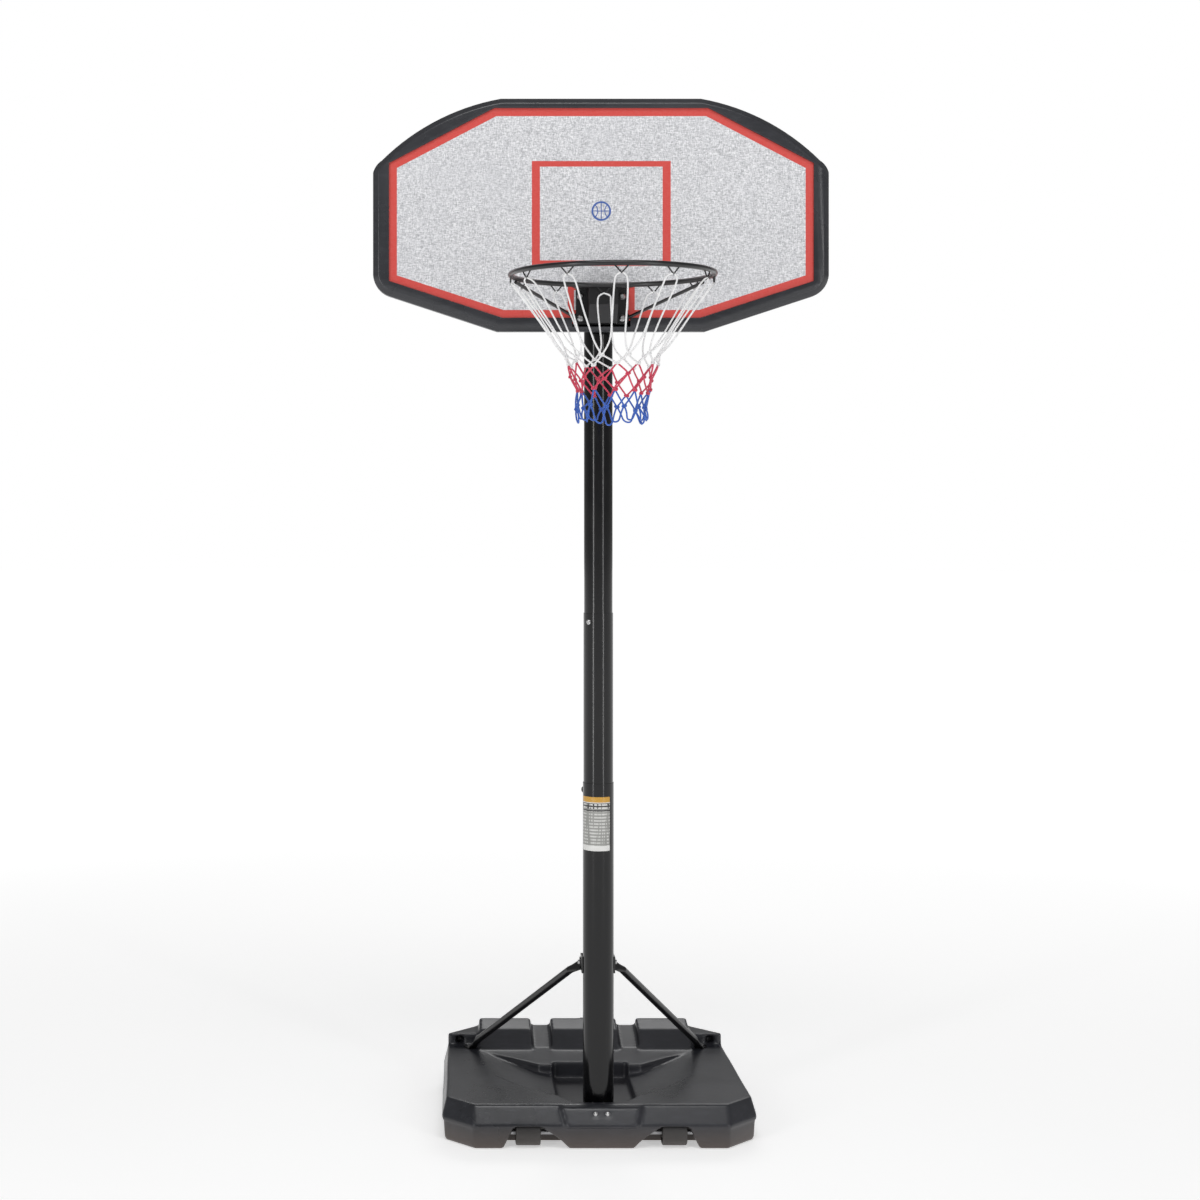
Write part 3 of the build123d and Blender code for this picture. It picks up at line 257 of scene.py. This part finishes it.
def panel_finish():
    """Pale woven-look board with a red border, a target, a box round the bracket and a ball sign."""
    made = Finish("printed_panel", (0.62, 0.62, 0.64), 0.5, Coat_Weight=0.15, Coat_Roughness=0.35)
    x, _, z = made.parts_of()
    across = made.math("ABSOLUTE", x)
    weft = made.noise(120.0, 4.0, 0.75, (0.8, 1.0, 3.2))
    warp = made.noise(120.0, 4.0, 0.75, (3.2, 1.0, 0.8))
    speck = made.noise(330.0, 3.0, 0.8)
    weave = made.math("ADD", made.math("MULTIPLY", weft, 0.4), made.math("MULTIPLY", warp, 0.35))
    weave = made.math("MULTIPLY_ADD", speck, 0.25, weave)
    patch = made.noise(5.0, 3.0)
    ground = made.mix(made.remap(weave, 0.42, 0.58, 0.0, 1.0), (0.34, 0.345, 0.365), (0.86, 0.86, 0.88))
    ground = made.mix(made.remap(patch, 0.45, 0.75, 0.0, 0.3), ground, (0.56, 0.565, 0.59))

    opening = [
        (board_half - 0.313, board_bottom + 0.033),
        (board_half - 0.039, board_bottom + 0.122),
        (board_half - 0.039, board_top - 0.158),
        (board_half - 0.294, board_top - 0.025),
    ]
    border = made.math("GREATER_THAN", edge_distance(made, across, z, opening), -border_width)

    target_middle = board_bottom + 0.2855
    target_half, target_rise = 0.168, 0.1270
    side_bar, level_bar = 0.0195, 0.0135
    from_middle = made.math("ABSOLUTE", made.math("SUBTRACT", z, target_middle))
    beside = made.math("LESS_THAN", across, target_half)
    within = made.math("MULTIPLY", beside, made.math("LESS_THAN", from_middle, target_rise))
    side_edge = made.math("GREATER_THAN", across, target_half - side_bar)
    level_edge = made.math("GREATER_THAN", from_middle, target_rise - level_bar)
    target = made.math("MULTIPLY", within, made.math("MAXIMUM", side_edge, level_edge))

    box_half, box_bar, box_top = 0.081, 0.015, ring_center.z + 0.011
    below = made.math("LESS_THAN", z, box_top)
    in_box = made.math("MULTIPLY", below, made.math("LESS_THAN", across, box_half))
    box_side = made.math("GREATER_THAN", across, box_half - box_bar)
    box_edge = made.math("MAXIMUM", box_side, made.math("GREATER_THAN", z, box_top - box_bar))
    bracket_box = made.math("MULTIPLY", in_box, box_edge)
    red = made.math("MAXIMUM", border, made.math("MAXIMUM", target, bracket_box))

    # A plain outline of a ball, the common sign for the game.
    ball_radius, ball_line = 0.0215, 0.0022
    ball_z = made.math("SUBTRACT", z, board_bottom + 0.2915)
    square = made.math("MULTIPLY", ball_z, ball_z)
    round_x = made.math("SQRT", made.math("MULTIPLY_ADD", x, x, square))
    from_rim = made.math("ABSOLUTE", made.math("SUBTRACT", round_x, ball_radius))
    rim_line = made.math("LESS_THAN", from_rim, ball_line)
    inside = made.math("LESS_THAN", round_x, ball_radius)
    upright = made.math("LESS_THAN", across, ball_line * 0.5)
    level = made.math("LESS_THAN", made.math("ABSOLUTE", ball_z), ball_line * 0.5)
    far_x = made.math("SUBTRACT", across, ball_radius * 1.35)
    seam_round = made.math("SQRT", made.math("MULTIPLY_ADD", far_x, far_x, square))
    from_seam = made.math("ABSOLUTE", made.math("SUBTRACT", seam_round, ball_radius * 0.95))
    seam = made.math("LESS_THAN", from_seam, ball_line * 0.5)
    lines = made.math("MULTIPLY", inside, made.math("MAXIMUM", seam, made.math("MAXIMUM", upright, level)))
    ball = made.math("MAXIMUM", rim_line, lines)

    ink = made.mix(made.remap(weave, 0.35, 0.65, 0.0, 0.55), red_print, (0.62, 0.13, 0.11))
    made.color(made.mix(ball, made.mix(red, ground, ink), blue_print))
    made.roughness(made.remap(weave, 0.35, 0.65, 0.42, 0.6))
    made.bump(weave, 0.00025)
    return made.material


def label_finish():
    """Printed film: an amber heading band, rows of plain bars and a white foot strip."""
    made = Finish("label_print", (0.6, 0.6, 0.58), 0.35, Coat_Weight=0.3, Coat_Roughness=0.2)
    _, _, z = made.parts_of()
    height = label_high.z - label_low.z
    up = made.math("DIVIDE", made.math("SUBTRACT", z, label_low.z), height)
    rows = 17.0
    row_phase = made.math("FRACT", made.math("MULTIPLY", up, rows))
    past_gap = made.math("GREATER_THAN", row_phase, 0.3)
    in_row = made.math("MULTIPLY", past_gap, made.math("LESS_THAN", row_phase, 0.82))
    dashes = made.noise(230.0, 2.0, 0.6, (1.0, 1.0, 0.06))
    words = made.math("MULTIPLY", in_row, made.math("GREATER_THAN", dashes, 0.47))
    field = made.math("MULTIPLY", made.math("GREATER_THAN", up, 0.10), made.math("LESS_THAN", up, 0.78))
    heading = made.math("MULTIPLY", made.math("GREATER_THAN", up, 0.78), made.math("LESS_THAN", up, 0.885))
    amber = made.math("GREATER_THAN", up, 0.9)
    ruled = made.math("MULTIPLY", made.math("GREATER_THAN", up, 0.735), made.math("LESS_THAN", up, 0.76))
    tone = made.mix(field, (0.78, 0.78, 0.76), (0.30, 0.30, 0.285))
    tone = made.mix(made.math("MULTIPLY", field, words), tone, (0.62, 0.62, 0.60))
    tone = made.mix(heading, tone, (0.035, 0.034, 0.032))
    tone = made.mix(made.math("MULTIPLY", heading, words), tone, (0.7, 0.7, 0.68))
    tone = made.mix(ruled, tone, (0.03, 0.03, 0.03))
    tone = made.mix(amber, tone, (0.62, 0.33, 0.035))
    made.color(tone)
    wear = made.noise(60.0, 4.0)
    made.roughness(made.remap(wear, 0.3, 0.8, 0.28, 0.5))
    made.bump(wear, 0.0001)
    return made.material


tank_plastic = moulded(
    "tank_plastic", (0.018, 0.019, 0.023), (0.031, 0.032, 0.039), 0.30, 380.0, 0.00010, dust_and_floor_reflection=0.45
)
wheel_plastic = moulded(
    "wheel_plastic", (0.022, 0.022, 0.023), (0.034, 0.034, 0.035), 0.5, 500.0, 0.0002, dust_and_floor_reflection=0.25
)
frame_plastic = moulded("frame_plastic", (0.024, 0.025, 0.029), (0.036, 0.037, 0.043), 0.28, 600.0, 0.00012)
back_plastic = moulded("back_plastic", (0.022, 0.023, 0.025), (0.034, 0.035, 0.037), 0.48, 500.0, 0.0002)
knob_plastic = moulded("knob_plastic", (0.010, 0.010, 0.011), (0.018, 0.018, 0.018), 0.3, 700.0, 0.00008)
cap_plastic = moulded("cap_plastic", (0.014, 0.014, 0.015), (0.024, 0.024, 0.025), 0.45, 600.0, 0.00012)
seal_rubber = moulded("seal_rubber", (0.008, 0.008, 0.008), (0.014, 0.014, 0.014), 0.72, 900.0, 0.00008)
pole_gloss = {"Specular_IOR_Level": 0.32, "Coat_Weight": 0.2, "Coat_Roughness": 0.08}
pole_paint = painted("pole_paint", (0.0022, 0.0022, 0.0028), 0.15, 0.00005, **pole_gloss)
rim_paint = painted("rim_paint", (0.006, 0.006, 0.007), 0.30, 0.00008, Coat_Weight=0.25, Coat_Roughness=0.2)
bracket_gloss = {"Coat_Weight": 0.2, "Coat_Roughness": 0.2}
bracket_paint = painted("bracket_paint", (0.006, 0.006, 0.007), 0.32, 0.00008, **bracket_gloss)
zinc = plated("zinc_plate", (0.66, 0.66, 0.66), 0.30)
axle_steel = plated("drawn_steel", (0.42, 0.42, 0.43), 0.38, (0.08, 1.0, 1.0))
finishes = {
    "tank_plastic": tank_plastic,
    "wheel_plastic": wheel_plastic,
    "frame_plastic": frame_plastic,
    "back_plastic": back_plastic,
    "knob_plastic": knob_plastic,
    "cap_plastic": cap_plastic,
    "seal_rubber": seal_rubber,
    "pole_paint": pole_paint,
    "rim_paint": rim_paint,
    "bracket_paint": bracket_paint,
    "zinc": zinc,
    "axle_steel": axle_steel,
    "panel_print": panel_finish(),
    "label_film": label_finish(),
}
slot_of = {part["node"]: part["material_slot"] for part in frame["record"]["subparts"]}
for name, node in nodes.items():
    if slot_of[name] in finishes:
        node.data.materials.clear()
        node.data.materials.append(finishes[slot_of[name]])


# ------------------------------------------------------------------ modelling helpers
def active(piece):
    bpy.ops.object.select_all(action="DESELECT")
    piece.select_set(True)
    bpy.context.view_layer.objects.active = piece


def apply_all(piece):
    active(piece)
    for modifier in list(piece.modifiers):
        bpy.ops.object.modifier_apply(modifier=modifier.name)


def softened(node_name, piece_name, width, shortest, segments=2, angle=25.0):
    """A merged copy of a part with its long sharp edges rounded, standing for the part."""
    source = nodes[node_name]
    piece = bpy.data.objects.new(piece_name, source.data.copy())
    scene.collection.objects.link(piece)
    active(piece)
    bpy.ops.object.mode_set(mode="EDIT")
    bpy.ops.mesh.select_all(action="SELECT")
    bpy.ops.mesh.remove_doubles(threshold=0.00001)
    bpy.ops.mesh.customdata_custom_splitnormals_clear()
    bpy.ops.mesh.select_all(action="SELECT")
    bpy.ops.mesh.dissolve_limited(angle_limit=radians(0.6))
    bpy.ops.mesh.select_all(action="DESELECT")
    bpy.ops.mesh.select_mode(type="EDGE")
    bpy.ops.mesh.edges_select_sharp(sharpness=radians(angle))
    bpy.ops.object.mode_set(mode="OBJECT")
    mesh = piece.data
    weights = mesh.attributes.new("bevel_weight_edge", "FLOAT", "EDGE")
    for edge in mesh.edges:
        start, end = (mesh.vertices[i].co for i in edge.vertices)
        if edge.select and (end - start).length > shortest:
            weights.data[edge.index].value = 1.0
    bevel = piece.modifiers.new("round_edges", "BEVEL")
    bevel.limit_method = "WEIGHT"
    bevel.width = width
    bevel.segments = segments
    bevel.use_clamp_overlap = False
    bevel.miter_outer = "MITER_ARC"
    apply_all(piece)
    bpy.ops.object.shade_smooth_by_angle(angle=radians(32.0))
    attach(piece, source["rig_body"])
    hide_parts(node_name)
    return piece


def remoulded(node_name, piece_name, voxel, plug_place, plug_radius):
    """A hollow part's outer skin with the soft edges of a blown moulding; a plug closes its port."""
    source = nodes[node_name]
    bpy.ops.object.select_all(action="DESELECT")
    bpy.ops.mesh.primitive_cylinder_add(
        vertices=32, radius=plug_radius, depth=plug_depth, location=plug_place, rotation=(pi / 2, 0, 0)
    )
    plug = bpy.context.active_object
    bpy.ops.object.transform_apply(location=True, rotation=True, scale=True)
    piece = bpy.data.objects.new(piece_name, source.data.copy())
    scene.collection.objects.link(piece)
    active(piece)
    bpy.ops.object.mode_set(mode="EDIT")
    bpy.ops.mesh.select_all(action="SELECT")
    bpy.ops.mesh.remove_doubles(threshold=0.00001)
    bpy.ops.mesh.customdata_custom_splitnormals_clear()
    bpy.ops.object.mode_set(mode="OBJECT")
    plug.select_set(True)
    bpy.ops.object.join()
    remesh = piece.modifiers.new("remesh", "REMESH")
    remesh.mode = "VOXEL"
    remesh.voxel_size = voxel
    remesh.use_smooth_shade = True
    apply_all(piece)
    bpy.ops.object.mode_set(mode="EDIT")
    bpy.ops.mesh.select_all(action="SELECT")
    bpy.ops.mesh.separate(type="LOOSE")
    bpy.ops.object.mode_set(mode="OBJECT")
    shells = sorted(bpy.context.selected_objects, key=lambda shell: -max(v.co.z for v in shell.data.vertices))
    piece = max(shells, key=lambda shell: shell.dimensions.x * shell.dimensions.y * shell.dimensions.z)
    for shell in shells:
        if shell is not piece:
            bpy.data.objects.remove(shell)
    piece.name = piece_name
    smooth = piece.modifiers.new("soften", "SMOOTH")
    smooth.factor = 0.5
    smooth.iterations = 7
    apply_all(piece)
    bpy.ops.object.shade_smooth()
    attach(piece, source["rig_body"])
    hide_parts(node_name)
    return piece


plug_depth = 0.02
port_center = (0.0, tank_high.y - 0.012, (seal_low.z + seal_high.z) / 2)
remoulded("base_tank", "tank_shell", 0.0043, port_center, 0.019)
softened("board_frame", "board_surround", 0.002, 0.006)
softened("board_back", "board_cover", 0.0015, 0.008)


# ------------------------------------------------------------------ the net
cord_radius = 0.0020
hooks = 12
row_turn = radians(360.0 / hooks)
net_drop = net_high.z - net_low.z


def net_radius(height):
    """The net's radius at a height, narrowing to the neck and then nearly straight."""
    share = (net_high.z - height) / net_drop
    stops = ((0.0, hook_circle - 0.004), (0.54, 0.103), (0.755, 0.083), (1.0, 0.079))
    for (low, wide), (high, narrow) in zip(stops, stops[1:]):
        if share <= high:
            return wide + (narrow - wide) * (share - low) / (high - low)
    return stops[-1][1]


def net_point(angle, height, bulge=0.0):
    radius = net_radius(height) + bulge
    return Vector((radius * cos(angle), ring_center.y + radius * sin(angle), height))


def add_strand(curve, points):
    """One length of cord on a smooth line."""
    spline = curve.splines.new("NURBS")
    spline.points.add(len(points) - 1)
    for target, place in zip(spline.points, points):
        target.co = (*place, 1.0)
    spline.order_u = 4 if len(points) > 3 else 3
    spline.use_endpoint_u = True
    spline.resolution_u = 5


def cord_curve(name):
    curve = bpy.data.curves.new(name, "CURVE")
    curve.dimensions = "3D"
    curve.bevel_depth = cord_radius
    curve.bevel_resolution = 2
    curve.use_fill_caps = True
    return curve


def knot_curve(name, size):
    """A small overhand knot: a trefoil whose turns nearly touch."""
    curve = cord_curve(name)
    curve.bevel_depth = cord_radius * 0.95
    spline = curve.splines.new("NURBS")
    steps = 18
    spline.points.add(steps - 1)
    for i, target in enumerate(spline.points):
        t = 2 * pi * i / steps
        x = sin(t) + 2 * sin(2 * t)
        y = cos(t) - 2 * cos(2 * t)
        target.co = (x * size, y * size * 0.55, -sin(3 * t) * size * 1.3, 1.0)
    spline.use_cyclic_u = True
    spline.order_u = 4
    spline.resolution_u = 2
    return curve


def as_mesh(curve, name):
    piece = bpy.data.objects.new(name, curve)
    scene.collection.objects.link(piece)
    active(piece)
    bpy.ops.object.convert(target="MESH")
    return bpy.context.view_layer.objects.active


dice = random.Random(7)


def wobble(amount):
    return dice.uniform(-amount, amount)


# Rows of knots from the hooks down: height as a share of the drop, and the half step round.
rows = [(0.50, 0.5), (0.568, 0.0), (0.66, 0.5), (0.757, 0.0), (0.865, 0.5)]
hook_angles = [radians(-90.0) + row_turn * i for i in range(hooks)]
hook_bottom = hook_low.z + 0.0015
knot_rows = []
for share, half_step in rows:
    row = []
    for angle in hook_angles:
        turned = angle + row_turn * half_step + wobble(radians(3.2))
        row.append(net_point(turned, net_high.z - net_drop * share + wobble(0.006), wobble(0.005)))
    knot_rows.append(row)


def span(start, end, sway):
    """Points of a slack length of cord between two knots."""
    line = end - start
    places = [start]
    for share in (0.3, 0.68):
        place = start + line * share
        place += Vector((wobble(sway), wobble(sway), wobble(sway * 0.5)))
        places.append(place)
    places.append(end)
    return places


white = cord_curve("white_cord")
for i, angle in enumerate(hook_angles):
    for way, knot in ((1, knot_rows[0][i]), (-1, knot_rows[0][i - 1])):
        hook_y = ring_center.y + hook_circle * sin(angle)
        places = [Vector((hook_circle * cos(angle), hook_y, hook_bottom + cord_radius))]
        for share, turn in ((0.001, 3.4), (0.010, 4.3), (0.2, 4.5), (0.36, 5.2), (0.445, 7.0)):
            turned = angle + way * radians(turn + wobble(0.9))
            places.append(net_point(turned, net_high.z - net_drop * share, wobble(0.003)))
        add_strand(white, places + [knot])
for i in range(hooks):
    for target in (knot_rows[1][i], knot_rows[1][(i + 1) % hooks]):
        add_strand(white, span(knot_rows[0][i], target, 0.003))

red_cord = cord_curve("red_cord")
for upper, lower, step in ((1, 2, 0), (2, 3, 1)):
    for i in range(hooks):
        for target in (knot_rows[lower][i - 1 + step], knot_rows[lower][(i + step) % hooks]):
            add_strand(red_cord, span(knot_rows[upper][i], target, 0.003))

blue = cord_curve("blue_cord")
for i in range(hooks):
    for target in (knot_rows[4][i - 1], knot_rows[4][i]):
        add_strand(blue, span(knot_rows[3][i], target, 0.003))
lowest = net_low.z + cord_radius + 0.001
for i in range(hooks):
    start, end = knot_rows[4][i], knot_rows[4][(i + 1) % hooks]
    middle = (start + end) / 2
    out = Vector((middle.x, middle.y - ring_center.y, 0)).normalized()
    dip = Vector((middle.x, middle.y, lowest + dice.uniform(0.0, 0.016))) + out * wobble(0.008)
    side = (end - start) * 0.3
    going_down = start.lerp(dip, 0.5) + out * 0.004
    add_strand(blue, [start, going_down, dip - side, dip + side, end.lerp(dip, 0.5), end])
    if i % 3 == 1:
        tail = start + Vector((wobble(0.012), wobble(0.012), -0.016))
        tip = Vector((tail.x + wobble(0.01), tail.y + wobble(0.006), max(lowest, tail.z - 0.016)))
        add_strand(blue, [start, tail, tip])

cord_finishes = [
    corded("white_cord", (0.90, 0.90, 0.90), (0.66, 0.66, 0.68)),
    corded("red_cord", (0.70, 0.05, 0.11), (0.42, 0.025, 0.06)),
    corded("blue_cord", (0.035, 0.13, 0.55), (0.018, 0.065, 0.32)),
]
cord_parts = ((white, "net_cords"), (red_cord, "net_red"), (blue, "net_blue"))
cord_pieces = [as_mesh(curve, name) for curve, name in cord_parts]
knots = []
knot_master = as_mesh(knot_curve("knot", 0.0019), "knot_master")
for row, shade in zip(knot_rows, (0, 0, 1, 1, 2)):
    for place in row:
        knot = knot_master.copy()
        knot.data = knot_master.data.copy()
        scene.collection.objects.link(knot)
        around = Vector((place.x, place.y - ring_center.y, 0)).to_track_quat("Y", "Z")
        knot.rotation_euler = around.to_euler()
        knot.location = place
        knot.data.materials.append(cord_finishes[shade])
        knots.append(knot)
bpy.data.objects.remove(knot_master)
for piece, finish in zip(cord_pieces, cord_finishes):
    piece.data.materials.clear()
    piece.data.materials.append(finish)
bpy.ops.object.select_all(action="DESELECT")
for piece in cord_pieces + knots:
    piece.select_set(True)
net = cord_pieces[0]
bpy.context.view_layer.objects.active = net
bpy.ops.object.transform_apply(location=True, rotation=True, scale=True)
bpy.ops.object.join()
bpy.ops.object.shade_smooth()
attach(net, "mast")
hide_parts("net")


# ------------------------------------------------------------------ floor, light and camera
def floor_finish():
    """A pale floor that fades to plain white away from the hoop."""
    made = Finish("pale_floor", (0.9, 0.9, 0.9), 0.85)
    made.shader.inputs["Emission Color"].default_value = (1.0, 1.0, 1.0, 1.0)
    reach = made.node("ShaderNodeVectorMath", operation="LENGTH")
    made.link(made.place, reach.inputs[0])
    away = made.remap(reach.outputs["Value"], 1.2, 4.5, 0.0, 1.0)
    made.color(made.mix(away, (0.88, 0.88, 0.88), (0.0, 0.0, 0.0)))
    made.link(made.math("MULTIPLY_ADD", away, 0.55, 0.45), made.shader.inputs["Emission Strength"])
    return made.material


bpy.ops.mesh.primitive_circle_add(vertices=96, radius=40.0, fill_type="NGON", location=(0, 0, -0.0005))
floor = bpy.context.active_object
floor.name = "floor"
floor.data.materials.append(floor_finish())

ambient = 0.24
world = bpy.data.worlds.new("studio")
scene.world = world
world.use_nodes = True
sky = world.node_tree
sky.nodes["Background"].inputs["Strength"].default_value = ambient
backdrop = sky.nodes.new("ShaderNodeBackground")
backdrop.inputs["Strength"].default_value = 1.0
seen = sky.nodes.new("ShaderNodeLightPath")
blend = sky.nodes.new("ShaderNodeMixShader")
for ground in (sky.nodes["Background"], backdrop):
    ground.inputs["Color"].default_value = (1.0, 1.0, 1.0, 1.0)
sky.links.new(seen.outputs["Is Camera Ray"], blend.inputs["Fac"])
sky.links.new(sky.nodes["Background"].outputs["Background"], blend.inputs[1])
sky.links.new(backdrop.outputs["Background"], blend.inputs[2])
sky.links.new(blend.outputs["Shader"], sky.nodes["World Output"].inputs["Surface"])
scene.view_settings.view_transform = "Standard"


def soft_light(name, place, aim, size, power):
    lamp = bpy.data.lights.new(name, "AREA")
    lamp.shape = "RECTANGLE"
    lamp.size, lamp.size_y = size
    lamp.energy = power
    holder = bpy.data.objects.new(name, lamp)
    scene.collection.objects.link(holder)
    holder.location = place
    holder.rotation_euler = (Vector(aim) - Vector(place)).to_track_quat("-Z", "Y").to_euler()


soft_light("left_box", (-3.4, -3.6, 1.9), (0, 0, 1.3), (0.45, 3.6), 46.0)
soft_light("right_box", (2.7, -3.9, 1.9), (0, 0, 1.3), (0.35, 3.6), 34.0)
soft_light("top_box", (0.0, -2.4, 5.2), (0, 0.2, 1.0), (2.4, 1.6), 64.0)
soft_light("back_box", (0.6, 4.0, 3.2), (0, 0.3, 0.3), (3.0, 1.2), 34.0)

camera_data = bpy.data.cameras.new("camera")
camera_data.sensor_width = 36.0
camera_data.lens = 60.87
camera_data.shift_x = 0.1367
camera_data.shift_y = -0.0850
camera = bpy.data.objects.new("camera", camera_data)
scene.collection.objects.link(camera)
camera.location = (-0.40, -5.0, 1.57)
camera.rotation_euler = (radians(90.0), 0.0, 0.0)
scene.camera = camera
